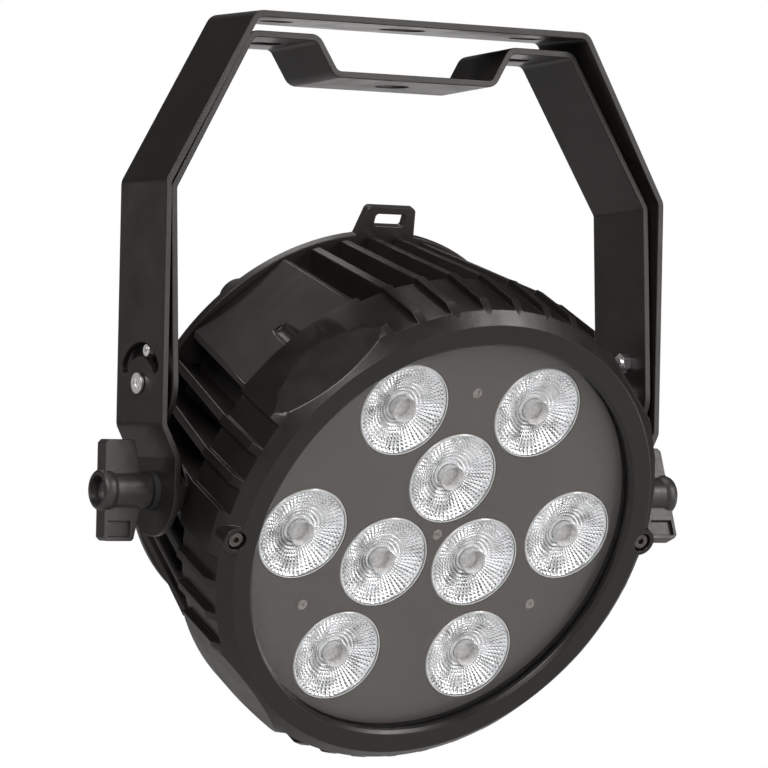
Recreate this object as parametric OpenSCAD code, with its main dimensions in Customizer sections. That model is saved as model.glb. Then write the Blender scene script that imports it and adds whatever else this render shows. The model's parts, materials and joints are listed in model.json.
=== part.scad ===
// Flat LED par can light with a double hanging and standing yoke.
// Millimetres. The origin is the middle of the hanging yoke's top face, +Z is up,
// +X runs along the tilt axis and the lamp shines towards -Y, tilted down.

/* [Yokes] */
// Width of the flat steel bar of both yokes
bar_w = 40; // [34:1:44]
// Thickness of the flat steel bar
bar_t = 3; // [2.5:0.1:3.2]
// Height of the hanging yoke's top face above the tilt axis
yoke_h = 210; // [205:1:230]
// Half the width over the hanging yoke's arms
yoke_half_w = 131.4; // [131:0.1:134]
// Half the width of the hanging yoke's top, to its bend lines
yoke_top_half = 87; // [80:1:95]
// Height of the hanging yoke's shoulder bends above the tilt axis
yoke_bend_h = 134; // [125:1:140]
// Length of the slot in the middle of the hanging yoke
clamp_slot_l = 22; // [16:1:30]
// Width of the slot in the middle of the hanging yoke
clamp_slot_w = 12.4; // [8:0.2:13]
// Distance between the side slots of both yokes
side_slot_pitch = 132; // [120:1:136]
// Length of the side slots
side_slot_l = 16; // [12:1:18]
// Width of the side slots
side_slot_w = 8.4; // [6:0.2:10]
// Height of the standing yoke's pivots above the tilt axis
pivot_h = 46.4; // [44:0.2:50]
// Angle that the standing yoke leans back at rest
stand_lean = 3.2; // [0:0.2:6]

/* [Head] */
// Angle that the lamp head tilts down at rest
head_tilt = 25.3; // [0:0.1:60]
// Outer radius of the bezel's front face
bezel_face_r = 105.3; // [104.5:0.1:106]
// Outer radius of the bezel's shoulder
bezel_r = 113.6; // [113:0.1:114.4]
// Radius of the window in the bezel
window_r = 94.9; // [93:0.1:96]
// Radius of the rear cover's rim
rim_r = 100.8; // [100:0.1:103]
// Distance from the tilt axis to the bezel's front face
face_z = 48.6; // [48:0.1:50]
// Distance from the tilt axis to the back of the rear cover
rear_z = 62.5; // [60:0.1:64]
// Angle between neighbouring fins
fin_pitch = 8.4; // [8:0.1:8.8]
// Thickness of a fin
fin_t = 4; // [3:0.1:5]

/* [Optics] */
// Radius of the circle of outer lenses
outer_lens_circle = 69.5; // [68:0.5:71]
// Radius of the circle of inner lenses
inner_lens_circle = 27.5; // [27:0.5:30]
// Diameter of a lens
lens_d = 43.6; // [40:0.2:44]
// Height of a lens
lens_h = 20; // [16:0.5:21]

/* [Knobs] */
// Distance over the tips of a knob's wings
knob_span = 44; // [38:1:48]
// Turn of the right knob about its screw
right_knob_turn = -20; // [-90:1:90]

/* [Hidden] */
$fn = 96;
fine = 0.05;                       // running clearance of a shaft in its bore
free = 0.3;                        // gap between parts that slide past each other
cut = 1;                           // overrun of a cutting tool
bend_r = 5;                        // centreline radius of the bar's bends
bend_steps = 5;                    // flats round each bend

// Hanging yoke
arm_x = yoke_half_w - bar_t / 2;   // centre of the arm's thickness
ear_in = 7.2;                      // how far the lower ears are set in
ear_x = arm_x - ear_in;            // centre of the ear's thickness
jog_top = 28.5;                    // height where the arm starts to bend in
jog_bottom = 14.5;                 // height where the ear starts
ear_hole_r = 4.3;                  // clearance hole for the knob's screw
arc_r = 14.9;                      // radius of the curved slot's centreline
arc_half = 60;                     // travel of the guide screw each way
arc_w = 6;                         // width of the curved slot

// Standing yoke, drawn about its pivots
stand_gap = 2.2;                   // gap between the arms, filled by a spacer
stand_x = arm_x - bar_t - stand_gap;
stand_bend_z = 84.3;
stand_top_half = 84.4;
stand_top_z = 153;
stand_shoulder = 51.2;             // where the shoulder bends down
stand_drop = 15.7;                 // depth of the dropped middle
stand_flat = 41.6;                 // half the dropped middle
stand_ear_r = 20;
pivot_shank_r = 3;                 // M6 pivot screws
pivot_head_r = 4.6;
pivot_head_t = 1.7;                 // low heads, with the play under them
guide_r = 2.7;                     // guide screws in the curved slots
guide_angle = 17;                  // how far forward of vertical they sit
guide_pos = [-arc_r * sin(guide_angle), arc_r * cos(guide_angle)];

// Head, drawn with +Z along the beam and the tilt axis at Z = 0
cover_t = 4;                       // rear cover plate
body_rear = -rear_z + cover_t + 0.6;
bezel_rear = 10;                   // back edge of the bezel's skirt
skirt_rear_r = 113;                // bezel's skirt at that edge
land_end_z = 38;                   // where the skirt's ribs start to run out
shoulder = [111.1, 43];            // radius and height of the shoulder's back edge
groove_depth = 2.8;
groove_half = 3.1;                 // half the angle of a groove
fin_rear_r = 99.5;
fin_front_r = 112.4;
core_r = 86;                       // outside of the housing behind the fins
cavity_r = 82;                     // inside of the electronics space
deck_z = 18;                       // front of the heat spreading deck
deck_t = 10;
front_wall_r = 104.6;              // housing's front wall, inside the bezel
front_wall_in = 95.8;
front_wall_z = 38;
glass_t = 3.5;
glass_front = 44.8;
glass_r = 99;
mask_t = 1.4;
mask_front = glass_front - glass_t - 0.4;
mask_r = 95;
screw_circle = 69.3;               // mask screws
mask_post_r = 3.4;                 // posts that carry the mask
boss_x = 118.7;                    // outer face of the tilt bosses
boss_r = 9.6;
flat_tilt = 15.6;                  // slope of the bezel's four flats
flat_d = 106.8;                    // distance of the flats at the front face
lug_circle = 106.4;                // bezel screws
lug_r = 6.4;
lug_angles = [0, 180];
lug_boss_r = 4.4;                  // housing's bosses for the bezel screws

diagonals = [45, 135, 225, 315];   // the smooth pads
pad_half_angle = 16.2;
pad_rear_d = 97;
pad_front_d = 109;
pad_edge = 2.6;                    // width of the bevel along a pad's edges
pad_slope = atan((pad_front_d - pad_rear_d) / (bezel_rear - body_rear));
pad_flare = atan((pad_front_d - pad_rear_d) * tan(pad_half_angle) / (bezel_rear - body_rear));

// Electronics and rear panel
panel_z = -rear_z;                 // outer face of the rear cover
display_pos = [0, 34];
button_pitch = 17;
button_y = 9;
button_r = 4;
button_stick_out = 1.6;
button_travel = 1;
port_y = -30;
power_in_x = -45;
power_out_x = 45;
signal_in_x = -15;
signal_out_x = 15;
power_hole_r = 12.2;
signal_hole_r = 10.6;
fuse_pos = [0, -62];
fuse_hole_r = 6.3;
foot_circle = 91;
foot_r = 8.5;
foot_h = 6.5;
cover_screw_circle = 90;
cover_screw_angles = [for (a = diagonals, side = [-9, 9]) a + side];

// Knobs
knob_base_x = 127;                 // inner end of the hub
knob_end_x = 151.5;                // outer end of the boss
knob_stud_r = 4;                   // M8 stud
knob_hub_r = 8.2;
wing_t = 7.4;
wing_l = 17.8;
wing_taper = 3;                    // how much shorter a wing's tip is than its root
wing_end_x = 149.5;

function lens_angle(i) = i < 6 ? i * 60 : 90 + (i - 6) * 120;
function lens_circle(i) = i < 6 ? outer_lens_circle : inner_lens_circle;
function lens_pos(i) = lens_circle(i) * [cos(lens_angle(i)), sin(lens_angle(i)), 0];
mask_screw_pos = [[0, 0, 0], for (i = [0:2])
    screw_circle * [cos(90 + i * 120), sin(90 + i * 120), 0]];

// ---------- helpers ----------

function unit(v) = v / norm(v);
function left_of(v) = [-v[1], v[0]];
function turned(v, a) = [v[0] * cos(a) - v[1] * sin(a), v[0] * sin(a) + v[1] * cos(a)];

// One bend of a bar: points on its centreline, each with the normal there
function bend(a, b, c) =
    let (u = unit(b - a), v = unit(c - b))
    let (turn = atan2(u[0] * v[1] - u[1] * v[0], u * v))
    let (start = b - u * bend_r * tan(abs(turn) / 2))
    let (centre = start + left_of(u) * sign(turn) * bend_r)
    [for (i = [0:bend_steps])
        let (n = left_of(turned(u, turn * i / bend_steps)))
        [centre - n * sign(turn) * bend_r, n]];

function bar_path(p) = let (last = len(p) - 1) concat(
    [[p[0], left_of(unit(p[1] - p[0]))]],
    [for (i = [1:last - 1]) each bend(p[i - 1], p[i], p[i + 1])],
    [[p[last], left_of(unit(p[last] - p[last - 1]))]]);

function mirrored(p) = [for (i = [len(p) - 1:-1:0]) [-p[i][0], p[i][1]]];

// A bent flat bar, symmetrical about X = 0, from half of its centreline
module bent_bar(half, w) {
    path = bar_path(concat(mirrored(half), half));
    outline = concat(
        [for (p = path) p[0] + p[1] * bar_t / 2],
        [for (i = [len(path) - 1:-1:0]) path[i][0] - path[i][1] * bar_t / 2]);
    rotate([90, 0, 0])
        linear_extrude(w, center = true) polygon(outline);
}

// A slot along X, cut down through a bar whose top is at z
module slot_cut(l, w, x, z) {
    translate([x, 0, z - bar_t - cut])
        linear_extrude(bar_t + 2 * cut)
            slot_shape(l, w);
}

module slot_shape(l, w) {
    square([l - w, w], center = true);
    for (side = [-1, 1])
        translate([side * (l - w) / 2, 0]) circle(d = w);
}

// A cylinder along X from x1 to x2
module x_rod(r, x1, x2) {
    translate([x1, 0, 0]) rotate([0, 90, 0]) cylinder(r = r, h = x2 - x1);
}

module both_sides() {
    for (side = [0, 1]) mirror([side, 0, 0]) children();
}

module at_tilt_axis() {
    translate([0, 0, -yoke_h]) children();
}

module at_stand_pivot() {
    translate([0, 0, pivot_h - yoke_h]) rotate([-stand_lean, 0, 0]) children();
}

// The head's own frame: X to the right, Y up, Z along the beam
module in_head() {
    at_tilt_axis() rotate([head_tilt + 90, 0, 0]) children();
}

module tube(r_out, r_in, z1, z2) {
    translate([0, 0, z1])
        linear_extrude(z2 - z1)
            difference() {
                circle(r_out);
                circle(r_in);
            }
}

module disc(r, z1, z2) {
    translate([0, 0, z1]) cylinder(r = r, h = z2 - z1);
}

// Puts a child at each place on a circle
module around(r, angles) {
    for (a = angles) rotate([0, 0, a]) translate([r, 0, 0]) children();
}

// A cap screw with a socket, head on +Z at z = 0, shank below
module cap_screw(head_r, head_h, shank_r, shank_l, socket_r) {
    difference() {
        union() {
            disc(head_r, 0, head_h);
            disc(shank_r, -shank_l, 0.01);
        }
        translate([0, 0, head_h * 0.4]) cylinder(r = socket_r, h = head_h, $fn = 6);
    }
}

// ---------- hanging yoke ----------

module outer_yoke() {
    color([0.13, 0.12, 0.12]) at_tilt_axis() difference() {
        union() {
            intersection() {
                bent_bar([
                    [yoke_top_half, yoke_h - bar_t / 2],
                    [arm_x, yoke_bend_h],
                    [arm_x, jog_top],
                    [ear_x, jog_bottom],
                    [ear_x, -1]], bar_w);
                translate([-200, -bar_w, 0]) cube([400, 2 * bar_w, 300]);
            }
            both_sides() x_rod(bar_w / 2, ear_x - bar_t / 2, ear_x + bar_t / 2);
        }
        slot_cut(clamp_slot_l, clamp_slot_w, 0, yoke_h);
        for (side = [-1, 1])
            slot_cut(side_slot_l, side_slot_w, side * side_slot_pitch / 2, yoke_h);
        both_sides() {
            x_rod(ear_hole_r, ear_x - bar_t, ear_x + bar_t);
            translate([0, 0, pivot_h]) {
                x_rod(pivot_shank_r + fine, arm_x - bar_t, arm_x + bar_t);
                arc_slot();
            }
        }
    }
}

// The curved slot that limits the standing yoke's swing
module arc_slot() {
    translate([arm_x - bar_t, 0, 0]) rotate([90, 0, 90]) {
        rotate([0, 0, 90 - arc_half])
            rotate_extrude(angle = 2 * arc_half)
                translate([arc_r - arc_w / 2, 0]) square([arc_w, 2 * bar_t]);
        around(arc_r, [90 - arc_half, 90 + arc_half])
            cylinder(d = arc_w, h = 2 * bar_t);
    }
}

// ---------- standing yoke ----------

module stand_yoke() {
    color([0.15, 0.14, 0.14]) at_stand_pivot() difference() {
        union() {
            intersection() {
                bent_bar([
                    [stand_flat, stand_top_z - stand_drop],
                    [stand_shoulder, stand_top_z],
                    [stand_top_half, stand_top_z],
                    [stand_x, stand_bend_z],
                    [stand_x, -1]], bar_w);
                translate([-200, -bar_w, 0]) cube([400, 2 * bar_w, 300]);
            }
            both_sides()
                intersection() {
                    x_rod(stand_ear_r, stand_x - bar_t / 2, stand_x + bar_t / 2);
                    translate([100, -bar_w, -bar_w]) cube([50, 2 * bar_w, bar_w]);
                }
        }
        slot_cut(side_slot_l, side_slot_w + 2, 0, stand_top_z - stand_drop + bar_t / 2);
        for (side = [-1, 1])
            slot_cut(side_slot_l, side_slot_w, side * side_slot_pitch / 2,
                stand_top_z + bar_t / 2);
        both_sides() {
            x_rod(pivot_shank_r, stand_x - bar_t, stand_x + bar_t);
            at_guide() x_rod(guide_r, stand_x - bar_t, stand_x + bar_t);
        }
    }
}

module at_guide() {
    rotate([stand_lean, 0, 0])
        translate([0, guide_pos[0], guide_pos[1]]) children();
}

module stand_pivot_screws() {
    color("silver") at_stand_pivot() both_sides() difference() {
        union() {
            x_rod(pivot_shank_r, stand_x - 7.4, yoke_half_w + 0.5);
            x_rod(pivot_head_r, yoke_half_w + free, yoke_half_w + pivot_head_t);
        }
        translate([yoke_half_w + pivot_head_t - 1, 0, 0]) rotate([0, 90, 0])
            cylinder(r = 2.3, h = bar_t, $fn = 6);
    }
}

module stand_guide_screws() {
    color("silver") at_stand_pivot() both_sides() at_guide() difference() {
        x_rod(guide_r, stand_x - 6.4, yoke_half_w - 0.4);
        translate([yoke_half_w - 1.8, 0, 0]) rotate([0, 90, 0])
            cylinder(r = 1.5, h = bar_t, $fn = 6);
    }
}

// Nylon spacers between the arms of the two yokes
module stand_spacers() {
    color([0.1, 0.1, 0.1]) at_stand_pivot() both_sides() difference() {
        x_rod(8, stand_x + bar_t / 2, stand_x + bar_t / 2 + stand_gap - 0.2);
        x_rod(pivot_shank_r, stand_x, stand_x + 2 * bar_t);
    }
}

module hex_nut(across, r_hole, x1, x2) {
    difference() {
        translate([x1, 0, 0]) rotate([0, 90, 0])
            cylinder(d = across / cos(30), h = x2 - x1, $fn = 6);
        x_rod(r_hole, x1 - cut, x2 + cut);
    }
}

module stand_nuts() {
    color("silver") at_stand_pivot() both_sides() {
        hex_nut(10, pivot_shank_r, stand_x - bar_t / 2 - 4.6, stand_x - bar_t / 2);
        at_guide() hex_nut(8, guide_r, stand_x - bar_t / 2 - 4, stand_x - bar_t / 2);
    }
}

// ---------- housing ----------

sector_angles = [for (q = [0:3], k = [-2.5:1:2.5]) q * 90 + k * fin_pitch];

module fin() {
    rotate([90, 0, 0])
        linear_extrude(fin_t, center = true)
            polygon([[core_r - 2, body_rear], [fin_rear_r, body_rear],
                [fin_front_r, bezel_rear - 0.1], [core_r - 2, bezel_rear - 0.1]]);
}

// The smooth blocks between the four groups of fins
module pad() {
    difference() {
        intersection() {
            rotate([90, 0, 0])
                linear_extrude(80, center = true)
                    polygon([[core_r - 8, body_rear + 0.2], [pad_rear_d, body_rear + 0.2],
                        [pad_front_d, bezel_rear - 0.1], [core_r - 8, bezel_rear - 0.1]]);
            translate([0, 0, body_rear - cut])
                linear_extrude(90)
                    polygon([[0, 0], 130 * [1, -tan(pad_half_angle)],
                        130 * [1, tan(pad_half_angle)]]);
        }
        for (side = [-1, 1])
            translate([pad_rear_d, side * pad_rear_d * tan(pad_half_angle), body_rear])
                rotate([-side * pad_flare, pad_slope, 0])
                    rotate([0, 0, 45])
                    translate([-pad_edge, -pad_edge, -10] / sqrt(2))
                        cube([pad_edge, pad_edge, 90] * sqrt(2));
    }
}

module tilt_boss() {
    rotate([0, 90, 0]) cylinder(r = boss_r, h = boss_x);
}

// The casting before its holes are drilled
module casting() {
    difference() {
        union() {
            disc(core_r, body_rear, bezel_rear);
            disc(front_wall_r, bezel_rear - 3, front_wall_z);
            around(lug_circle, lug_angles) disc(lug_boss_r, -4, 24);
            around(0, sector_angles) fin();
            around(0, diagonals) pad();
            both_sides() tilt_boss();
        }
        disc(cavity_r, body_rear - cut, deck_z - deck_t);
        disc(front_wall_in, deck_z, front_wall_z + cut);
    }
    for (p = mask_screw_pos) translate(p)
        disc(mask_post_r, deck_z - 1, mask_front - mask_t);
}

module finned_housing() {
    color([0.16, 0.14, 0.14]) in_head() difference() {
        casting();
        both_sides() x_rod(knob_stud_r + fine, boss_x - 22, boss_x + cut);
        around(cover_screw_circle, cover_screw_angles)
            disc(1.6, body_rear - cut, body_rear + 12);
        around(lug_circle, lug_angles) disc(2, 11, front_wall_z + cut);
        for (p = board_screw_pos) translate(p) disc(1.5, deck_z - 7, deck_z + cut);
        for (p = mask_screw_pos) translate(p) disc(1.5, deck_z - 7, mask_front + cut);
        around(pad_front_d - 1, diagonals) disc(4.2, -12, bezel_rear);
    }
}

board_screw_pos = [for (i = [0:5]) 47 * [cos(30 + i * 60), sin(30 + i * 60), 0]];

// ---------- bezel and window ----------

module front_bezel() {
    color([0.15, 0.14, 0.13]) in_head() difference() {
        union() {
            rotate_extrude($fn = 180) polygon([
                [window_r + 1.6, face_z], [bezel_face_r, face_z], shoulder,
                [bezel_r, land_end_z], [skirt_rear_r, bezel_rear],
                [front_wall_r + 0.3, bezel_rear], [front_wall_r + 0.3, front_wall_z],
                [glass_r + 0.4, front_wall_z], [glass_r + 0.4, glass_front],
                [window_r, glass_front], [window_r, face_z - 1.6]]);
            around(lug_circle, lug_angles) disc(lug_r, bezel_rear + 8, face_z - 0.6);
        }
        grooves();
        around(0, diagonals) flat_cut();
        around(lug_circle, lug_angles) {
            disc(2.2, bezel_rear, face_z);
            disc(lug_boss_r + 0.4, bezel_rear - cut, 24.3);
            disc(4.3, face_z - 4.2, face_z);
        }
        disc(front_wall_r + 0.3, bezel_rear - cut, front_wall_z);
    }
}

// Grooves that carry the gaps between the fins on along the bezel
module grooves() {
    for (q = [0:3], k = [-3:3])
        if (k != 0 || q % 2 == 1)
            rotate([0, 0, q * 90 + k * fin_pitch - groove_half])
                rotate_extrude(angle = 2 * groove_half)
                    polygon([
                        [skirt_rear_r - groove_depth, bezel_rear - cut],
                        [bezel_r - groove_depth, face_z],
                        [bezel_r + 5, face_z],
                        [bezel_r + 5, bezel_rear - cut]]);
}

module flat_cut() {
    translate([flat_d, 0, face_z]) rotate([0, -flat_tilt, 0])
        translate([0, -40, -60]) cube([30, 80, 70]);
}

module front_glass() {
    color([0.7, 0.75, 0.8, 0.3]) in_head() disc(glass_r, glass_front - glass_t, glass_front);
}

module glass_gasket() {
    color([0.05, 0.05, 0.05]) in_head()
        tube(glass_r, front_wall_in + 0.6, front_wall_z, glass_front - glass_t);
}

module bezel_screws() {
    color("silver") in_head() around(lug_circle, lug_angles)
        translate([0, 0, face_z - 4.2]) cap_screw(3.4, 2.6, 2, 32, 1.5);
}

// ---------- optics ----------

module mask_plate() {
    color([0.42, 0.4, 0.38]) in_head() difference() {
        disc(mask_r, mask_front - mask_t, mask_front);
        for (i = [0:8]) translate(lens_pos(i))
            disc(lens_d / 2 + 0.2, mask_front - 5, mask_front + cut);
        for (p = mask_screw_pos) translate(p) disc(1.7, mask_front - 5, mask_front + cut);
    }
}

module mask_screws() {
    color("silver") in_head() for (p = mask_screw_pos)
        translate([p[0], p[1], mask_front - 0.3]) difference() {
            union() {
                disc(2.4, 0.3, 0.65);
                disc(1.5, -26, 0.31);
            }
            translate([0, 0, 0.2]) cylinder(r = 1, h = 1, $fn = 6);
        }
}

// A moulded collimator lens: a cup that widens to a flat front
module lens(i) {
    base_z = mask_front - lens_h + 0.2;
    color([0.9, 0.92, 0.95, 0.6]) in_head() translate(lens_pos(i))
        rotate_extrude() polygon([
            [4.2, base_z], [7.4, base_z], [13, base_z + 4.6], [17.6, base_z + 10.4],
            [20.2, base_z + 16], [lens_d / 2, base_z + 17], [lens_d / 2, mask_front + 0.2],
            [6.4, mask_front + 0.2], [5.2, mask_front - 5], [0, mask_front - 5],
            [0, base_z + 4], [3.6, base_z + 3]]);
}

// The black carrier that stands each lens over its emitter
module lens_holder(i) {
    base_z = mask_front - lens_h + 0.2;
    color([0.08, 0.08, 0.08]) in_head() translate(lens_pos(i)) {
        difference() {
            disc(11, deck_z + 1.6, base_z + 4.4);
            translate([0, 0, base_z])
                cylinder(r1 = 7.45, r2 = 13.35, h = 4.85);
            disc(7.3, deck_z, base_z + 1);
        }
    }
}

module led_board() {
    color([0.85, 0.85, 0.82]) in_head() difference() {
        disc(92, deck_z, deck_z + 1.6);
        for (p = board_screw_pos) translate(p) disc(1.7, deck_z - cut, deck_z + 3);
        for (p = mask_screw_pos) translate(p) disc(mask_post_r + 0.2, deck_z - cut, deck_z + 3);
    }
}

module led_emitters() {
    color([0.95, 0.9, 0.6]) in_head() for (i = [0:8]) translate(lens_pos(i)) {
        translate([-3.5, -3.5, deck_z + 1.6]) cube([7, 7, 0.9]);
        disc(2.6, deck_z + 2.5, deck_z + 3.4);
    }
}

module board_screws() {
    color("silver") in_head() for (p = board_screw_pos)
        translate([p[0], p[1], deck_z + 1.6]) cap_screw(2.8, 2, 1.5, 7.4, 1.2);
}

// ---------- electronics ----------

board_z = body_rear + 26;

module driver_board() {
    color([0.1, 0.35, 0.15]) in_head() {
        translate([-52, 6, board_z]) cube([104, 50, 1.6]);
        for (x = [-40:20:40]) translate([x, 22, board_z + 1.6]) disc(5, 0, 9);
        for (x = [-42:14:42]) translate([x - 4, 40, board_z + 1.6]) cube([8, 8, 4]);
    }
}

module power_supply() {
    color([0.75, 0.75, 0.7]) in_head() {
        translate([-52, -56, board_z]) cube([104, 56, 1.6]);
        translate([-14, -44, board_z + 1.6]) cube([28, 26, 17]);
        for (x = [-38, 38]) translate([x, -30, board_z + 1.6]) disc(8, 0, 18);
        translate([-46, -16, board_z + 1.6]) cube([92, 8, 5]);
    }
}

standoff_pos = [for (x = [-48, 48], y = [-52, -4, 10, 52]) [x, y, 0]];

module standoffs() {
    color([0.8, 0.7, 0.3]) in_head() for (p = standoff_pos)
        translate(p) translate([0, 0, board_z + 1.6])
            cylinder(d = 6, h = deck_z - deck_t - board_z - 1.6, $fn = 6);
}

// ---------- rear cover and its panel ----------

module rear_cover() {
    color([0.16, 0.15, 0.15]) in_head() difference() {
        union() {
            disc(rim_r, panel_z, panel_z + cover_t);
            safety_eye();
        }
        translate([display_pos[0] - 15, display_pos[1] - 8, panel_z - cut]) cube([30, 16, 6]);
        for (i = [0:3]) translate([button_x(i), button_y, 0])
            disc(button_r + free, panel_z - cut, panel_z + 6);
        translate([power_in_x, port_y, 0]) disc(power_hole_r, panel_z - cut, panel_z + 6);
        translate([power_out_x, port_y, 0]) disc(power_hole_r, panel_z - cut, panel_z + 6);
        translate([signal_in_x, port_y, 0]) disc(signal_hole_r, panel_z - cut, panel_z + 6);
        translate([signal_out_x, port_y, 0]) disc(signal_hole_r, panel_z - cut, panel_z + 6);
        translate(fuse_pos) disc(fuse_hole_r, panel_z - cut, panel_z + 6);
        around(cover_screw_circle, cover_screw_angles) disc(1.8, panel_z - cut, panel_z + 6);
        around(foot_circle, diagonals) disc(2, panel_z - cut, panel_z + 6);
    }
}

function button_x(i) = (i - 1.5) * button_pitch;

// The loop for a safety cable, cast on the top of the cover
module safety_eye() {
    translate([0, rim_r, panel_z]) linear_extrude(cover_t) difference() {
        polygon([[-17, -6], [16.4, -6], [14.8, -0.4], [12.4, 11.4],
            [11.2, 12.6], [-12, 12.6], [-13.2, 11.4], [-15.6, -0.4]]);
        translate([0, 6.4]) offset(1.4) square([12.8, 3], center = true);
    }
}

module rear_cover_screws() {
    color("silver") in_head() around(cover_screw_circle, cover_screw_angles)
        translate([0, 0, panel_z]) rotate([180, 0, 0]) cap_screw(3, 1.8, 1.6, 14, 1.2);
}

module rear_gasket() {
    color([0.05, 0.05, 0.05]) in_head()
        tube(core_r - 0.4, cavity_r + 0.4, panel_z + cover_t, body_rear);
}

module rubber_feet() {
    color([0.07, 0.07, 0.07]) in_head() around(foot_circle, diagonals) {
        disc(2, panel_z - 0.01, panel_z + cover_t);
        translate([0, 0, panel_z - foot_h]) rotate_extrude()
            polygon([[0, 0], [foot_r - 2, 0], [foot_r, 2.4], [foot_r, foot_h], [0, foot_h]]);
    }
}

module display_window() {
    color([0.1, 0.12, 0.14]) in_head()
        translate([display_pos[0] - 15, display_pos[1] - 8, panel_z + 0.4]) cube([30, 16, 1.6]);
}

module display_board() {
    color([0.1, 0.35, 0.15]) in_head() {
        translate([-36, 2, panel_z + 9]) cube([72, 44, 1.6]);
        translate([display_pos[0] - 14, display_pos[1] - 7, panel_z + 3]) cube([28, 14, 6]);
        for (i = [0:3]) translate([button_x(i) - 3, button_y - 3, panel_z + 7.2])
            cube([6, 6, 1.8]);
    }
}

module menu_button(i) {
    color([0.08, 0.08, 0.09]) in_head() translate([button_x(i), button_y, 0]) {
        translate([0, 0, panel_z - button_stick_out]) rotate_extrude() polygon([
            [0, 0], [button_r - 0.7, 0], [button_r, 0.7],
            [button_r, button_stick_out + cover_t], [0, button_stick_out + cover_t]]);
        disc(2, panel_z + cover_t - 0.01, panel_z + 5.9);
    }
}

// A flanged panel socket with an inner recess
module socket(x, hole_r, flange, recess_r, key_w) {
    color([0.1, 0.1, 0.11]) in_head() translate([x, port_y, 0]) difference() {
        union() {
            translate([-flange / 2, -flange / 2, panel_z - 2]) cube([flange, flange, 2]);
            disc(hole_r - 0.1, panel_z - 0.01, panel_z + 20);
            disc(hole_r - 0.1, panel_z - 4, panel_z - 1.9);
        }
        disc(recess_r, panel_z - 5, panel_z + 15);
        translate([-key_w / 2, 0, panel_z - 5]) cube([key_w, recess_r + 1, 20]);
        for (sx = [-1, 1]) translate([sx, sx, 0] * (flange / 2 - 2.8))
            disc(1.6, panel_z - 5, panel_z + 2);
    }
}

module socket_pins(x, r, count) {
    color("silver") in_head() translate([x, port_y, 0])
        around(r, [for (i = [0:count - 1]) -90 + i * 360 / count])
            disc(1.1, panel_z + 2, panel_z + 16);
}

module power_inlet() {
    socket(power_in_x, power_hole_r, 27, 9.6, 5);
    socket_pins(power_in_x, 4.4, 3);
}

module power_outlet() {
    socket(power_out_x, power_hole_r, 27, 9.6, 5);
    socket_pins(power_out_x, 4.4, 3);
}

module signal_inlet() {
    socket(signal_in_x, signal_hole_r, 25, 8.2, 3);
    socket_pins(signal_in_x, 3.8, 3);
}

module signal_outlet() {
    socket(signal_out_x, signal_hole_r, 25, 8.2, 3);
    socket_pins(signal_out_x, 3.8, 3);
}

module fuse_holder() {
    color([0.1, 0.1, 0.1]) in_head() translate(fuse_pos) difference() {
        union() {
            disc(7.6, panel_z - 3.4, panel_z);
            disc(fuse_hole_r - 0.1, panel_z - 0.01, panel_z + 20);
        }
        translate([-5, -0.8, panel_z - 4.4]) cube([10, 1.6, 2.2]);
    }
}

// ---------- tilt clamps ----------

// A wing knob on the right hand side, turned about X
module wing_knob(turn) {
    at_tilt_axis() rotate([turn, 0, 0]) difference() {
        union() {
            translate([knob_base_x, 0, 0]) rotate([0, 90, 0])
                rotate_extrude() polygon([
                    [0, 0], [knob_hub_r - 0.8, 0], [knob_hub_r, 0.8], [knob_hub_r, 17.6],
                    [8.9, 19.2], [9.2, 20.6], [9.1, 22.4], [8.6, 23.7], [7.6, 24.5], [0, 24.5]]);
            for (half = [0, 180]) rotate([half, 0, 0]) wing();
        }
        x_rod(6.4, knob_end_x - 5, knob_end_x + cut);
        x_rod(knob_stud_r, knob_base_x - cut, knob_end_x - 4);
    }
}

module wing() {
    tip = knob_span / 2;
    root_x = wing_end_x - wing_l;
    difference() {
        rotate([90, 0, 0]) linear_extrude(wing_t, center = true) polygon([
            [root_x, 0], [wing_end_x, 0], [wing_end_x, tip - 1.6], [wing_end_x - 1.6, tip],
            [root_x + wing_taper + 1, tip], [root_x + wing_taper, tip - 1], [root_x, 8]]);
        translate([root_x + wing_taper + 1.8, wing_t / 2 - 1.8, tip - 8.6])
            cube([wing_l - wing_taper - 3.6, 3, 6.8]);
    }
}

module knob_stud() {
    at_tilt_axis() difference() {
        x_rod(knob_stud_r, boss_x - 20, knob_end_x - 4);
        translate([knob_end_x - 6.4, 0, 0]) rotate([0, 90, 0])
            cylinder(r = 1.2, h = 4, $fn = 6);
    }
}

module knob_washer() {
    at_tilt_axis() difference() {
        x_rod(8.6, ear_x + bar_t / 2 + 0.1, knob_base_x - 0.1);
        x_rod(knob_stud_r + fine, ear_x, knob_base_x + cut);
    }
}

module left_knob() {
    color([0.1, 0.1, 0.1]) mirror([1, 0, 0]) wing_knob(0);
}

module right_knob() {
    color([0.1, 0.1, 0.1]) wing_knob(right_knob_turn);
}

module left_knob_stud() {
    color("silver") mirror([1, 0, 0]) knob_stud();
}

module right_knob_stud() {
    color("silver") knob_stud();
}

module left_knob_washer() {
    color([0.2, 0.2, 0.2]) mirror([1, 0, 0]) knob_washer();
}

module right_knob_washer() {
    color([0.2, 0.2, 0.2]) knob_washer();
}

// Fibre washers between the housing's bosses and the yoke's ears
module friction_washers() {
    color([0.08, 0.08, 0.08]) at_tilt_axis() both_sides() difference() {
        x_rod(boss_r, boss_x, ear_x - bar_t / 2 - 0.1);
        x_rod(knob_stud_r + 0.3, boss_x - cut, ear_x);
    }
}

// ---------- placement ----------

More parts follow.
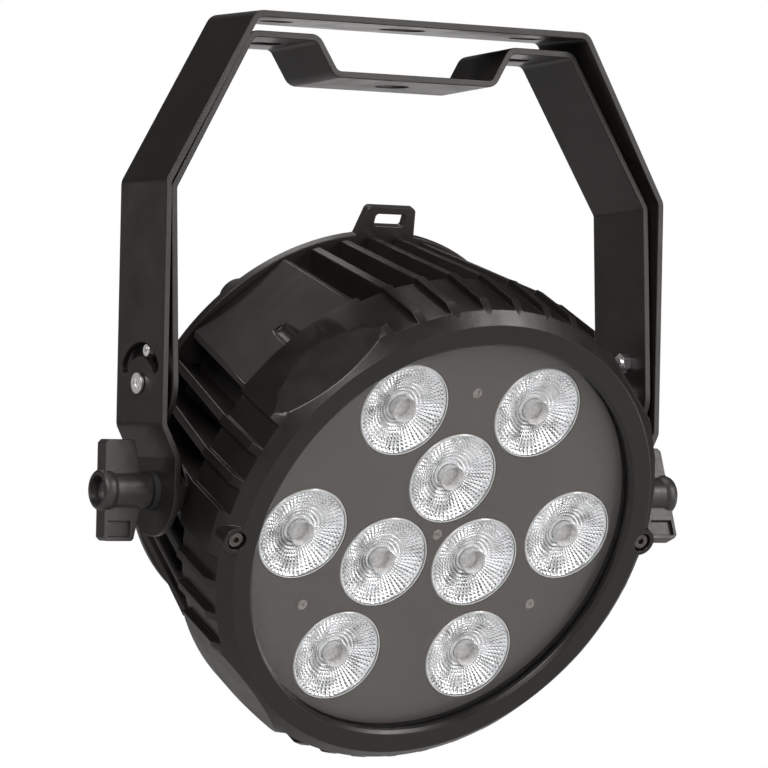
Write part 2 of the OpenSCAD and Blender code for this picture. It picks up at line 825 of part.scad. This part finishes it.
outer_yoke();
stand_yoke();
stand_pivot_screws();
stand_guide_screws();
stand_spacers();
stand_nuts();
finned_housing();
front_bezel();
front_glass();
glass_gasket();
bezel_screws();
mask_plate();
mask_screws();
for (i = [0:8]) {
    lens(i);
    lens_holder(i);
}
led_board();
led_emitters();
board_screws();
driver_board();
power_supply();
standoffs();
rear_cover();
rear_cover_screws();
rear_gasket();
rubber_feet();
display_window();
display_board();
for (i = [0:3])
    menu_button(i);
power_inlet();
power_outlet();
signal_inlet();
signal_outlet();
fuse_holder();
left_knob();
right_knob();
left_knob_stud();
right_knob_stud();
left_knob_washer();
right_knob_washer();
friction_washers();
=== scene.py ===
"""Looks for the LED par can light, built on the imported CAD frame. Metres, Blender 4.5."""

import json
import math

import bmesh
import bpy
from mathutils import Matrix, Vector


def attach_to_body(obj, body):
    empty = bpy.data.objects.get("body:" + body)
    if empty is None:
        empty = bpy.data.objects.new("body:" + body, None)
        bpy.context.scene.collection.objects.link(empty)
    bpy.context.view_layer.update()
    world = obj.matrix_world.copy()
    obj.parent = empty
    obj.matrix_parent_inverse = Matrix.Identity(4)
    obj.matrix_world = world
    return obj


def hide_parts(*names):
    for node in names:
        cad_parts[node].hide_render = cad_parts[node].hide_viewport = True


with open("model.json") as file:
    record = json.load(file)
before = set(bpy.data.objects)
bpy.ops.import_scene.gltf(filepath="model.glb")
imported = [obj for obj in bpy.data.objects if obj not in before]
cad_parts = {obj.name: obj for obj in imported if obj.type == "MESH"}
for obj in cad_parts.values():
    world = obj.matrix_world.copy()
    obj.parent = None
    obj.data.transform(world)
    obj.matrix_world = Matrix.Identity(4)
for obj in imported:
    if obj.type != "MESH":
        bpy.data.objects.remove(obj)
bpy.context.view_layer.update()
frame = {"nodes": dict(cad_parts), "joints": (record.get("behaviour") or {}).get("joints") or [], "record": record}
nodes = frame["nodes"]

MM = 0.001
MM_PER_M = 1000.0
WHITE = (1.0, 1.0, 1.0, 1.0)


# ---------- the head's own frame ----------

def joint(name):
    """The frame's record of one joint."""
    return next(j for j in frame["joints"] if j["name"] == name)


BEAM = Vector(joint("menu_button_1_press")["axis"]).normalized()
TILT_AXIS = Vector(joint("head_tilt")["pos_m"])
HEAD_X = Vector((1, 0, 0))
HEAD_Y = BEAM.cross(HEAD_X)


def head_place(centre):
    """A matrix that puts the head's X, Y and beam directions at a centre."""
    m = Matrix((HEAD_X, HEAD_Y, BEAM)).transposed().to_4x4()
    return Matrix.Translation(centre) @ m


# ---------- node building helpers ----------

NOISE_LOW = 0.25            # most of a noise lies between these two
NOISE_HIGH = 0.75


class Shader:
    """A material and its nodes, with short calls to add and join them."""

    def __init__(self, name):
        self.mat = bpy.data.materials.new(name)
        self.mat.use_nodes = True
        self.tree = self.mat.node_tree
        self.tree.nodes.clear()
        self.out = self.tree.nodes.new("ShaderNodeOutputMaterial")
        self.coords = self.tree.nodes.new("ShaderNodeTexCoord").outputs["Object"]

    def node(self, kind, settings=None, **inputs):
        """A new node, with its settings and its inputs filled in."""
        n = self.tree.nodes.new("ShaderNode" + kind)
        for key, value in (settings or {}).items():
            setattr(n, key, value)
        for key, value in inputs.items():
            self.put(n.inputs[key.replace("_", " ")], value)
        return n

    def put(self, socket, value):
        """Joins an input to another node's output, or sets it to a plain value."""
        if isinstance(value, bpy.types.NodeSocket):
            self.tree.links.new(value, socket)
        else:
            socket.default_value = value

    def noise(self, scale, detail=3.0, rough=0.5):
        """A cloudy value from 0 to 1, with its scale in waves over a metre."""
        n = self.node("TexNoise", Scale=scale, Detail=detail, Roughness=rough, Vector=self.coords)
        return n.outputs["Fac"]

    def ramp(self, fac, stops):
        """A value's colour, blended between stops of a place and a colour each."""
        n = self.node("ValToRGB", Fac=fac)
        band = n.color_ramp
        while len(band.elements) < len(stops):
            band.elements.new(0.5)
        for e, (place, colour) in zip(band.elements, stops):
            e.position = place
            e.color = (*colour, 1.0)
        return n.outputs["Color"]

    def tones(self, fac, dark, light, low=0.3, high=0.7):
        """A colour that drifts between a dark and a light one."""
        return self.ramp(fac, [(low, dark), (high, light)])

    def spread(self, fac, low, high):
        """Stretches a noise over a range."""
        n = self.node("MapRange", Value=fac, From_Min=NOISE_LOW, From_Max=NOISE_HIGH,
                      To_Min=low, To_Max=high)
        return n.outputs["Result"]

    def bump(self, height, depth, strength, under=None):
        """A normal from a height, with its depth in metres, on top of another normal."""
        n = self.node("Bump", Strength=strength, Distance=depth, Height=height)
        if under is not None:
            self.put(n.inputs["Normal"], under)
        return n.outputs["Normal"]

    def maths(self, operation, *terms):
        """The result of one operation on up to three terms."""
        n = self.node("Math", {"operation": operation})
        for socket, term in zip(n.inputs, terms):
            self.put(socket, term)
        return n.outputs[0]

    def wave(self, value, turns, phase=0.0):
        """A wave from -1 to 1 with a number of turns over each unit of value."""
        return self.maths("SINE", self.maths("MULTIPLY_ADD", value, turns * math.tau, phase))

    def radial(self):
        """The turn about the object's own axis from 0 to 1, and the distance from it in mm."""
        turn = self.node("TexGradient", {"gradient_type": "RADIAL"}, Vector=self.coords)
        flat = self.node("Mapping", Vector=self.coords, Scale=(MM_PER_M, MM_PER_M, 0.0))
        away = self.node("VectorMath", {"operation": "LENGTH"})
        self.put(away.inputs[0], flat.outputs["Vector"])
        return turn.outputs["Fac"], away.outputs["Value"]

    def finished(self, shader):
        """Ends the material in a shader."""
        self.tree.links.new(shader.outputs[0], self.out.inputs["Surface"])
        return self.mat

    def surface(self, **inputs):
        """Ends the material in one principled surface."""
        return self.finished(self.node("BsdfPrincipled", **inputs))


def grey(v):
    return (v, v, v)


# ---------- materials ----------

def powder_coat(name, dark, light, rough, ior=1.5):
    """Satin black powder coat: slight tone drift, orange peel and fine grain."""
    s = Shader(name)
    colour = s.tones(s.noise(26.0, detail=4.0), dark, light)
    roughness = s.spread(s.noise(60.0, detail=5.0, rough=0.6), rough - 0.05, rough + 0.06)
    grain = s.bump(s.noise(2600.0, detail=2.0), depth=0.00003, strength=0.6)
    peel = s.bump(s.noise(700.0, detail=2.0), depth=0.00006, strength=0.5, under=grain)
    return s.surface(Base_Color=colour, Roughness=roughness, Normal=peel, IOR=ior)


def cast_paint(name, dark, light, rough, ior=1.5):
    """Powder coat over a die casting, with a rougher skin under it."""
    s = Shader(name)
    colour = s.tones(s.noise(18.0, detail=5.0, rough=0.6), dark, light)
    roughness = s.spread(s.noise(90.0, detail=4.0), rough - 0.06, rough + 0.06)
    skin = s.bump(s.noise(380.0, detail=5.0, rough=0.65), depth=0.00009, strength=0.5)
    grain = s.bump(s.noise(2200.0, detail=2.0), depth=0.00003, strength=0.5, under=skin)
    return s.surface(Base_Color=colour, Roughness=roughness, Normal=grain, IOR=ior)


def zinc(name, dark, light, rough):
    """Plated steel or brass with cloudy plating and a faint grain."""
    s = Shader(name)
    cloud = s.noise(420.0, detail=4.0)
    colour = s.tones(cloud, dark, light)
    grain = s.bump(s.noise(1800.0, detail=2.0), depth=0.00001, strength=0.3)
    roughness = s.spread(cloud, rough - 0.06, rough + 0.08)
    return s.surface(Base_Color=colour, Roughness=roughness, Normal=grain, Metallic=1.0)


def moulded(name, dark, light, rough, depth=0.00004, scale=1500.0):
    """Moulded plastic or rubber with a spark-eroded grain."""
    s = Shader(name)
    colour = s.tones(s.noise(140.0), dark, light, low=0.35, high=0.65)
    cells = s.node("TexVoronoi", Scale=scale, Vector=s.coords).outputs["Distance"]
    pits = s.bump(cells, depth, strength=0.5)
    grain = s.bump(s.noise(scale * 1.7, detail=2.0), depth, strength=0.4, under=pits)
    roughness = s.spread(s.noise(300.0), rough - 0.05, rough + 0.05)
    return s.surface(Base_Color=colour, Roughness=roughness, Normal=grain)


def board(name, mask, track):
    """Solder mask with lighter tracks under it."""
    s = Shader(name)
    shaded = [c * 0.85 for c in mask]
    bricks = s.node("TexBrick", Scale=90.0, Mortar_Size=0.06, Vector=s.coords,
                    Color1=(*mask, 1), Color2=(*shaded, 1), Mortar=(*track, 1))
    normal = s.bump(bricks.outputs["Fac"], depth=0.00004, strength=0.4)
    roughness = s.spread(s.noise(200.0), 0.3, 0.42)
    return s.surface(Base_Color=bricks.outputs["Color"], Roughness=roughness, Normal=normal)


def mask_grey(name, dark, light):
    """Flat warm grey paint on the lens plate."""
    s = Shader(name)
    colour = s.tones(s.noise(14.0, detail=4.0), dark, light)
    return s.surface(Base_Color=colour, Roughness=s.spread(s.noise(120.0), 0.42, 0.5))


MIRROR_POWER = 5.0          # how late the mirror share of a clear pane rises with its slant


def clear_pane(name, tint, rough, least, ripple=0.0, ripple_scale=60.0):
    """A clear pane that lets lamps through and mirrors by its slant, from a least share."""
    s = Shader(name)
    through = s.node("BsdfTransparent", Color=(*tint, 1))
    shine = s.node("BsdfGlossy", Color=WHITE, Roughness=rough)
    slant = s.node("LayerWeight", Blend=0.5)
    if ripple:
        normal = s.bump(s.noise(ripple_scale, detail=2.0), ripple, strength=0.5)
        s.put(shine.inputs["Normal"], normal)
        s.put(slant.inputs["Normal"], normal)
    steep = s.maths("POWER", slant.outputs["Facing"], MIRROR_POWER)
    share = s.maths("MULTIPLY_ADD", steep, 1.0 - least, least)
    mix = s.node("MixShader")
    for socket, source in zip(mix.inputs, (share, through.outputs[0], shine.outputs[0])):
        s.put(socket, source)
    return s.finished(mix)


FLUTES = 56                 # round a lens's bright cup
ROWS_PER_MM = 0.62          # of cells, out from the lens's axis
ROWS_PHASE = 0.8

# What the cells, the flutes, coarse patches and fine clouds each add to a cup's brightness, which is a painted
# reflection: light and dark put into the colour
CELL_SHARE = 0.26
FLUTE_SHARE = 0.09
REFLECTION_PATCH_SHARE = 0.45
CLOUD_SHARE = 0.55
# Painted reflection: near-black to white tones that stand in for what the silver cup mirrors
SILVER_REFLECTION_STOPS = [(0.22, (0.1, 0.098, 0.095)), (0.38, (0.5, 0.5, 0.49)),
                (0.47, (0.96, 0.96, 0.955)), (0.8, (1.0, 1.0, 1.0))]


def silvered_with_painted_reflection(name, metallic):
    """The moulded facet rows of a collimator's silver cup, rows of small cells around its axis, with the light and
    dark that each facet would mirror painted into its colour as a painted reflection.
    """
    s = Shader(name)
    turn, away = s.radial()
    flutes = s.wave(turn, FLUTES)
    cells = s.maths("MULTIPLY", flutes, s.wave(away, ROWS_PER_MM, ROWS_PHASE))
    reflection_patches = s.maths("MULTIPLY", s.noise(62.0, detail=1.5), REFLECTION_PATCH_SHARE)
    clouds = s.maths("MULTIPLY_ADD", s.noise(210.0, rough=0.6), CLOUD_SHARE, reflection_patches)
    mixed = s.maths("ADD", s.maths("MULTIPLY", cells, CELL_SHARE), clouds)
    facets_and_reflection = s.maths("ADD", mixed, s.maths("MULTIPLY", flutes, FLUTE_SHARE))
    # The ramp paints reflection into the base colour: the bright and dark cells and patches are painted
    # reflection, while the bump gives the real facet texture
    return s.surface(Base_Color=s.ramp(facets_and_reflection, SILVER_REFLECTION_STOPS),
                     Roughness=s.spread(clouds, 0.12, 0.26),
                     Normal=s.bump(facets_and_reflection, depth=0.0005, strength=0.5), Metallic=metallic)


def frosted(name, dark, light, rough):
    """Cloudy clear plastic seen nearly opaque."""
    s = Shader(name)
    return s.surface(Base_Color=s.tones(s.noise(700.0), dark, light),
                     Roughness=s.spread(s.noise(400.0), rough - 0.04, rough + 0.04),
                     Coat_Weight=0.6, Coat_Roughness=0.08)


def phosphor(name, dark, light):
    """The yellow coating of a white emitter under its clear dome."""
    s = Shader(name)
    colour = s.tones(s.noise(1500.0, detail=2.0), dark, light)
    return s.surface(Base_Color=colour, Roughness=0.35, Coat_Weight=1.0)


# Each material's maker, then what it is given: two tones and most often a roughness
RECIPES = {
    "yoke_paint": (powder_coat, (0.0065, 0.0053, 0.0048), (0.0095, 0.008, 0.0072), 0.38, 1.42),
    "housing_paint": (cast_paint, (0.011, 0.0086, 0.008), (0.0155, 0.0128, 0.0118), 0.4),
    "bezel_paint": (cast_paint, (0.0066, 0.006, 0.005), (0.009, 0.0082, 0.007), 0.33, 1.38),
    "cover_paint": (powder_coat, (0.016, 0.0135, 0.0125), (0.022, 0.019, 0.0175), 0.42),
    "mask_paint": (mask_grey, (0.069, 0.061, 0.056), (0.079, 0.07, 0.064)),
    "screw_steel": (zinc, grey(0.66), grey(0.84), 0.3),
    "stud_steel": (zinc, grey(0.4), grey(0.6), 0.3),
    "standoff_brass": (zinc, (0.5, 0.36, 0.12), (0.66, 0.5, 0.2), 0.3),
    "nylon": (moulded, grey(0.02), grey(0.03), 0.5),
    "washer_nylon": (moulded, grey(0.012), grey(0.018), 0.5),
    "washer_fibre": (moulded, grey(0.02), (0.035, 0.03, 0.026), 0.7),
    "seal_rubber": (moulded, grey(0.008), grey(0.014), 0.6),
    "foot_rubber": (moulded, grey(0.018), grey(0.028), 0.68, 0.00008, 900.0),
    "holder_plastic": (moulded, grey(0.02), grey(0.03), 0.5),
    "button_plastic": (moulded, grey(0.03), grey(0.045), 0.45),
    "socket_plastic": (moulded, grey(0.018), grey(0.028), 0.4),
    "fuse_plastic": (moulded, grey(0.02), grey(0.03), 0.42),
    "knob_plastic": (moulded, (0.013, 0.0115, 0.011), (0.018, 0.016, 0.015), 0.42),
    "circuit_board": (board, (0.02, 0.12, 0.04), (0.05, 0.22, 0.08)),
    "supply_board": (board, (0.3, 0.24, 0.13), (0.42, 0.36, 0.2)),
    "led_board_white": (board, (0.75, 0.75, 0.73), (0.62, 0.62, 0.6)),
    "led_phosphor": (phosphor, (0.5, 0.36, 0.06), (0.66, 0.5, 0.12)),
    "window_glass": (clear_pane, (0.97, 0.975, 0.98), 0.015, 0.01),
    "display_glass": (frosted, grey(0.008), grey(0.012), 0.14),
    "lens_clear": (clear_pane, (0.97, 0.98, 0.99), 0.09, 0.04, 0.0004, 700.0),
    "lens_silver": (silvered_with_painted_reflection, 0.66),
    "lens_bore": (frosted, (0.4, 0.39, 0.38), (0.62, 0.61, 0.6), 0.14),
    "lens_wall": (frosted, (0.55, 0.545, 0.535), (0.85, 0.84, 0.83), 0.12),
    "lens_edge": (frosted, (0.5, 0.5, 0.49), (0.66, 0.66, 0.65), 0.14),
    "black_steel": (zinc, (0.07, 0.06, 0.055), (0.15, 0.135, 0.13), 0.26),
    "dark_steel": (zinc, (0.24, 0.21, 0.2), (0.4, 0.36, 0.34), 0.32),
}
MATERIALS = {name: make(name, *given) for name, (make, *given) in RECIPES.items()}


def dress(obj, name):
    """Gives an object one material in all of its slots."""
    obj.data.materials.clear()
    obj.data.materials.append(MATERIALS[name])


SLOT_OF = {s["node"]: s["material_slot"] for s in frame["record"]["subparts"]}
BODY_OF = {
    node: body
    for body, members in frame["record"]["behaviour"]["bodies"].items()
    for node in members
}
for node, obj in nodes.items():
    for holder in obj.material_slots:
        holder.material = MATERIALS[SLOT_OF[node]]


# ---------- pieces with rounded edges ----------

def attach(obj, node):
    """Puts a new piece in the scene in place of a CAD node."""
    if obj.name not in bpy.context.scene.collection.objects:
        bpy.context.scene.collection.objects.link(obj)
    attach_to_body(obj, BODY_OF[node])
    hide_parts(node)


WELD = 2e-6                 # points nearer than this become one
FLAT_DEG = 0.6              # faces that meet flatter than this become one
SHARP_DEG = 34.0            # edges steeper than this are shaded sharp
ROUND_DEG = 28.0            # edges steeper than this are rounded over
PLATING = {                 # of the small screws, darker than their slot's own
    "bezel_screws": "black_steel",
    "rear_cover_screws": "black_steel",
    "mask_screws": "dark_steel",
}


def rounded(node, width, segments, angle=ROUND_DEG):
    """A copy of a CAD node with its sharp edges rounded over."""
    mesh = nodes[node].data.copy()
    bm = bmesh.new()
    bm.from_mesh(mesh)
    bmesh.ops.remove_doubles(bm, verts=bm.verts, dist=WELD)
    bmesh.ops.dissolve_limit(
        bm, angle_limit=math.radians(FLAT_DEG), verts=bm.verts, edges=bm.edges)
    bmesh.ops.dissolve_degenerate(bm, dist=WELD, edges=bm.edges)
    for f in bm.faces:
        f.smooth = True
    bm.to_mesh(mesh)
    bm.free()
    obj = bpy.data.objects.new(node + "_look", mesh)
    bpy.context.scene.collection.objects.link(obj)
    bevel = obj.modifiers.new("edges", "BEVEL")
    bevel.width = width
    bevel.segments = segments
    bevel.limit_method = "ANGLE"
    bevel.angle_limit = math.radians(angle)
    bevel.use_clamp_overlap = False
    settled(obj)
    dress(obj, PLATING.get(node, SLOT_OF[node]))
    attach(obj, node)


def baked(obj):
    """Applies an object's modifiers and returns its new mesh."""
    graph = bpy.context.evaluated_depsgraph_get()
    mesh = bpy.data.meshes.new_from_object(obj.evaluated_get(graph))
    obj.modifiers.clear()
    obj.data = mesh
    return mesh


def settled(obj):
    """Applies an object's modifiers and shades it smooth up to the sharp angle."""
    mesh = baked(obj)
    for f in mesh.polygons:
        f.use_smooth = True
    mesh.set_sharp_from_angle(angle=math.radians(SHARP_DEG))
    even = obj.modifiers.new("normals", "WEIGHTED_NORMAL")
    even.keep_sharp = True
    baked(obj)


# Each piece's width of rounding in millimetres, its steps and, where it differs, its angle
ROUNDED = {
    "outer_yoke": (0.45, 3),
    "stand_yoke": (0.45, 3),
    "finned_housing": (0.5, 2),
    "front_bezel": (0.35, 3, 22.0),
    "rear_cover": (0.4, 2),
    "mask_plate": (0.2, 2),
    "left_knob": (0.4, 3),
    "right_knob": (0.4, 3),
    "stand_pivot_screws": (0.2, 2),
    "stand_guide_screws": (0.2, 2),
    "stand_nuts": (0.2, 2),
    "bezel_screws": (0.12, 2),
    "rear_cover_screws": (0.12, 2),
    "mask_screws": (0.12, 2),
    "power_inlet": (0.3, 2),
    "power_outlet": (0.3, 2),
    "signal_inlet": (0.3, 2),
    "signal_outlet": (0.3, 2),
    "fuse_holder": (0.3, 2),
}
for node, (width, *shape) in ROUNDED.items():
    rounded(node, width * MM, *shape)


# ---------- lenses ----------

STEPS_ROUND = 4 * FLUTES
LENS_R = 21.7               # millimetres
LENS_SHARP_DEG = 32.0       # edges steeper than this are shaded sharp on a lens
LENS_SLOTS = ("lens_clear", "lens_bore", "lens_edge", "lens_silver", "lens_wall")
CLEAR, BORE, EDGE, SILVER, WALL = range(len(LENS_SLOTS))

# Profiles from the rim inwards, each point a radius, a height and the lift of its flutes,
# all in millimetres
EDGE_PROFILE = ((LENS_R, -3.0, 0.0), (LENS_R, -0.35, 0.0), (LENS_R - 0.35, 0.0, 0.0),
                (LENS_R - 0.8, -0.05, 0.0))
FACE_PROFILE = ((20.2, -0.3, 0.0), (17.6, -0.12, 0.08), (14.4, -0.2, 0.08),
                (11.2, -0.2, 0.06), (7.4, -0.15, 0.0), (5.6, -0.2, 0.0))
BORE_PROFILE = ((5.3, -1.2, 0.0), (5.0, -4.6, 0.0))
DOME_PROFILE = ((4.4, -4.5, 0.0), (3.2, -4.2, 0.0), (1.8, -3.9, 0.0))
DOME_TOP = -3.8
CUP_STEPS = 8
CUP_RIM = (20.3, -1.3)      # the first step's radius and height
CUP_PITCH = (1.8, 0.52)     # how far in and down each step lies from the last
CUP_TOOTH = ((0.0, 0.0, 0.2), (-1.15, -0.62, 0.24), (-1.55, -0.3, 0.2))
CUP_TOP = ((20.8, -0.9, 0.0),)
CUP_FOOT = ((5.7, -5.6, 0.0), (5.2, -4.7, 0.0))


def cup_profile():
    """The bright cup's profile from its rim to its foot, a tooth to each step."""
    profile = list(CUP_TOP)
    for step in range(CUP_STEPS):
        rim_r = CUP_RIM[0] - CUP_PITCH[0] * step
        rim_z = CUP_RIM[1] - CUP_PITCH[1] * step
        profile += [(rim_r + r, rim_z + z, lift) for r, z, lift in CUP_TOOTH]
    return profile + list(CUP_FOOT)


def ring(bm, radius, height, lift):
    """One ring of points in the lens's own frame, lifted by its flutes. Millimetres."""
    points = []
    for i in range(STEPS_ROUND):
        a = math.tau * i / STEPS_ROUND
        z = height + lift * math.cos(a * FLUTES)
        points.append(bm.verts.new((
            radius * MM * math.cos(a), radius * MM * math.sin(a), z * MM)))
    return points


def rings(bm, profile):
    """The rings of a whole profile."""
    return [ring(bm, *point) for point in profile]


def lap(bm, rows, slot):
    """Joins each ring to the next with faces."""
    for low, high in zip(rows, rows[1:]):
        n = len(low)
        for i in range(n):
            f = bm.faces.new((low[i], low[(i + 1) % n], high[(i + 1) % n], high[i]))
            f.material_index = slot
            f.smooth = True


def cap(bm, rim, height, slot):
    """Closes a ring to a point in the middle."""
    top = bm.verts.new((0, 0, height * MM))
    n = len(rim)
    for i in range(n):
        f = bm.faces.new((rim[i], rim[(i + 1) % n], top))
        f.material_index = slot
        f.smooth = True


def lens_axis(node):
    """The middle of a lens's front face, found from its own points."""
    points = [v.co for v in nodes[node].data.vertices]
    front = max(p.dot(BEAM) for p in points)
    up = [p.dot(HEAD_Y) for p in points]
    across = [p.x for p in points]
    return (HEAD_X * (min(across) + max(across)) / 2 + HEAD_Y * (min(up) + max(up)) / 2
            + BEAM * front)


def make_lens(node, turn):
    """A collimator: a faceted bright cup behind a rippled clear face with a bore."""
    bm = bmesh.new()
    edge = rings(bm, EDGE_PROFILE)
    face = [edge[-1]] + rings(bm, FACE_PROFILE)
    bore = [face[-1]] + rings(bm, BORE_PROFILE)
    dome = [bore[-1]] + rings(bm, DOME_PROFILE)
    lap(bm, edge, EDGE)
    lap(bm, face, CLEAR)
    lap(bm, bore, WALL)
    lap(bm, dome, BORE)
    cap(bm, dome[-1], DOME_TOP, BORE)
    lap(bm, rings(bm, cup_profile()), SILVER)
    bmesh.ops.recalc_face_normals(bm, faces=bm.faces)
    mesh = bpy.data.meshes.new(node + "_look")
    bm.to_mesh(mesh)
    bm.free()
    for name in LENS_SLOTS:
        mesh.materials.append(MATERIALS[name])
    mesh.set_sharp_from_angle(angle=math.radians(LENS_SHARP_DEG))
    obj = bpy.data.objects.new(node + "_look", mesh)
    obj.matrix_world = head_place(lens_axis(node)) @ Matrix.Rotation(turn, 4, "Z")
    attach(obj, node)


# Each lens's turn about its axis in degrees, so that no two look the same
LENS_TURNS = (0, 212, 75, 148, 305, 30, 251, 110, 190)
for i, degrees in enumerate(LENS_TURNS):
    make_lens(f"lens_{i + 1}", math.radians(degrees))


# ---------- stage ----------

FLOOR_Z = -0.7
FLOOR_R = 3.0
FLOOR_SIDES = 96
FLOOR_LIFT = 0.5            # added to the floor's tone where it is looked at
HEART = Vector((0.0, 0.0, -0.17))
STUDIO_TINT = (1.0, 0.97, 0.95, 1)
STUDIO_LIGHT = 0.09


def make_floor():
    """A round pale floor well below the part."""
    bm = bmesh.new()
    bmesh.ops.create_circle(bm, cap_ends=True, segments=FLOOR_SIDES, radius=FLOOR_R)
    mesh = bpy.data.meshes.new("floor")
    bm.to_mesh(mesh)
    bm.free()
    obj = bpy.data.objects.new("floor", mesh)
    obj.location.z = FLOOR_Z
    s = Shader("floor")
    colour = s.tones(s.noise(2.0, detail=2.0), grey(0.6), grey(0.66))
    seen = s.node("LightPath").outputs["Is Camera Ray"]
    glow = s.maths("MULTIPLY", seen, FLOOR_LIFT)
    mesh.materials.append(s.surface(
        Base_Color=colour, Roughness=0.8, Emission_Color=WHITE, Emission_Strength=glow))
    bpy.context.scene.collection.objects.link(obj)


def lamp(name, place, size, power, colour):
    """A soft box that faces the middle of the part, out of the camera's sight."""
    data = bpy.data.lights.new(name, "AREA")
    data.shape = "RECTANGLE"
    data.size, data.size_y = size
    data.energy = power
    data.color = colour
    obj = bpy.data.objects.new(name, data)
    obj.location = place
    aim = HEART - Vector(place)
    obj.rotation_euler = aim.to_track_quat("-Z", "Y").to_euler()
    obj.visible_camera = False
    bpy.context.scene.collection.objects.link(obj)


def make_world():
    """White to the camera, a soft grey studio to everything else."""
    world = bpy.data.worlds.new("studio")
    bpy.context.scene.world = world
    world.use_nodes = True
    tree = world.node_tree
    tree.nodes.clear()
    out = tree.nodes.new("ShaderNodeOutputWorld")
    seen = tree.nodes.new("ShaderNodeBackground")
    seen.inputs["Color"].default_value = WHITE
    seen.inputs["Strength"].default_value = 1.0
    lit = tree.nodes.new("ShaderNodeBackground")
    lit.inputs["Color"].default_value = STUDIO_TINT
    lit.inputs["Strength"].default_value = STUDIO_LIGHT
    ray = tree.nodes.new("ShaderNodeLightPath")
    mix = tree.nodes.new("ShaderNodeMixShader")
    tree.links.new(ray.outputs["Is Camera Ray"], mix.inputs[0])
    tree.links.new(lit.outputs[0], mix.inputs[1])
    tree.links.new(seen.outputs[0], mix.inputs[2])
    tree.links.new(mix.outputs[0], out.inputs["Surface"])


# Each lamp's name, its place, its width and height, its power in watts and its colour
LAMPS = (
    ("key", (-1.7, -1.3, 1.3), (0.9, 0.9), 50.0, (1.0, 0.98, 0.97)),
    ("back", (-1.3, 2.0, 0.05), (0.6, 0.5), 0.9, (1.0, 0.95, 0.92)),
    ("fill", (1.4, -1.8, 1.0), (0.7, 0.9), 34.0, (1.0, 0.96, 0.93)),
    ("low", (1.4, -2.2, -0.15), (0.8, 0.6), 13.0, (1.0, 0.96, 0.93)),
    ("rear", (0.15, 1.25, 2.0), (1.0, 0.8), 14.0, (1.0, 0.98, 0.96)),
    ("left", (-2.1, -0.6, 0.95), (0.4, 0.4), 5.0, (1.0, 0.97, 0.95)),
    ("top", (0.3, -0.2, 1.9), (1.4, 1.0), 12.0, (1.0, 0.97, 0.95)),
    ("front", (-1.0, -2.2, 0.5), (0.8, 0.8), 14.0, (1.0, 0.98, 0.97)),
    ("side", (1.9, -0.45, -0.5), (0.7, 0.35), 4.5, (1.0, 0.99, 0.98)),
    ("backdrop", (1.4, 2.1, -0.25), (0.9, 0.6), 3.6, (1.0, 0.97, 0.96)),
)

make_floor()
make_world()
for row in LAMPS:
    lamp(*row)


# ---------- camera ----------

VIEW_AZIMUTH = -32.471      # this and the next two in degrees
VIEW_ELEVATION = -0.366
VIEW_ROLL = 1.184
VIEW_OFFSET = (0.003605, -0.050418, 2.22561)    # right, up and back from the tilt axis
VIEW_LENS = 233.22
VIEW_SENSOR = 36.0
VIEW_SHIFT = (-0.00088, -0.00503)
VIEW_NEAR = 0.05
VIEW_FAR = 80.0


def make_camera():
    """The camera, turned by its three angles and set off from the tilt axis."""
    az = math.radians(VIEW_AZIMUTH)
    el = math.radians(VIEW_ELEVATION)
    roll = math.radians(VIEW_ROLL)
    back = Vector((math.sin(az) * math.cos(el), -math.cos(az) * math.cos(el), math.sin(el)))
    right = Vector((math.cos(az), math.sin(az), 0))
    up = right.cross(-back)
    x_row = right * math.cos(roll) + up * math.sin(roll)
    y_row = up * math.cos(roll) - right * math.sin(roll)
    place = back * VIEW_OFFSET[2] - x_row * VIEW_OFFSET[0] - y_row * VIEW_OFFSET[1]
    data = bpy.data.cameras.new("camera")
    data.sensor_width = VIEW_SENSOR
    data.lens = VIEW_LENS
    data.shift_x, data.shift_y = VIEW_SHIFT
    data.clip_start = VIEW_NEAR
    data.clip_end = VIEW_FAR
    cam = bpy.data.objects.new("camera", data)
    turn = Matrix((x_row, y_row, back)).transposed().to_4x4()
    cam.matrix_world = Matrix.Translation(place + TILT_AXIS) @ turn
    bpy.context.scene.collection.objects.link(cam)
    bpy.context.scene.camera = cam


make_camera()
bpy.context.scene.view_settings.view_transform = "Standard"
